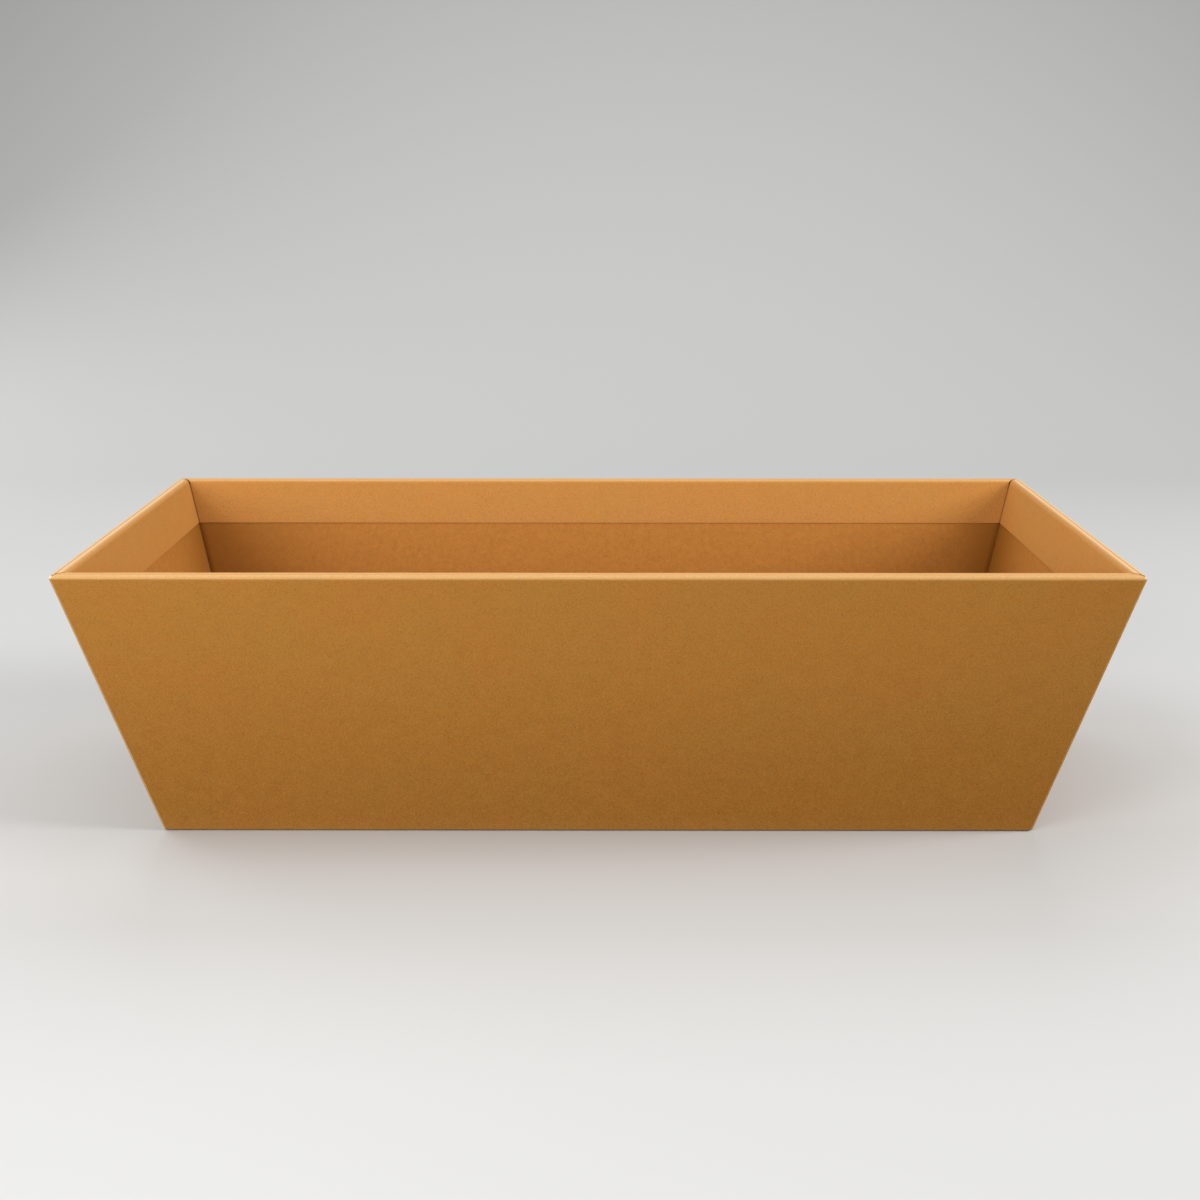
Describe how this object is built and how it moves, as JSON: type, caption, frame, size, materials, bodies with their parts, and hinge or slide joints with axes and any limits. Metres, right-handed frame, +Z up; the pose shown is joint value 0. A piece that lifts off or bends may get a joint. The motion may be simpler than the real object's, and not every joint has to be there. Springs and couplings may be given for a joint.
{
  "type": "cardboard basket",
  "caption": "Long low open basket folded from kraft board, with walls leaning outward, a level rim with soft edges and mitred flaps turned in and glued inside.",
  "frame": {"origin": "middle of the flat underside", "axes": "+Z up, +X along the long side, and the long front side faces -Y"},
  "size_m": [0.4, 0.1974, 0.111],
  "materials": {
    "kraft_board": "matte"
  },
  "bodies": {
    "root": {"folded_basket": "kraft_board"}
  },
  "joints": []
}
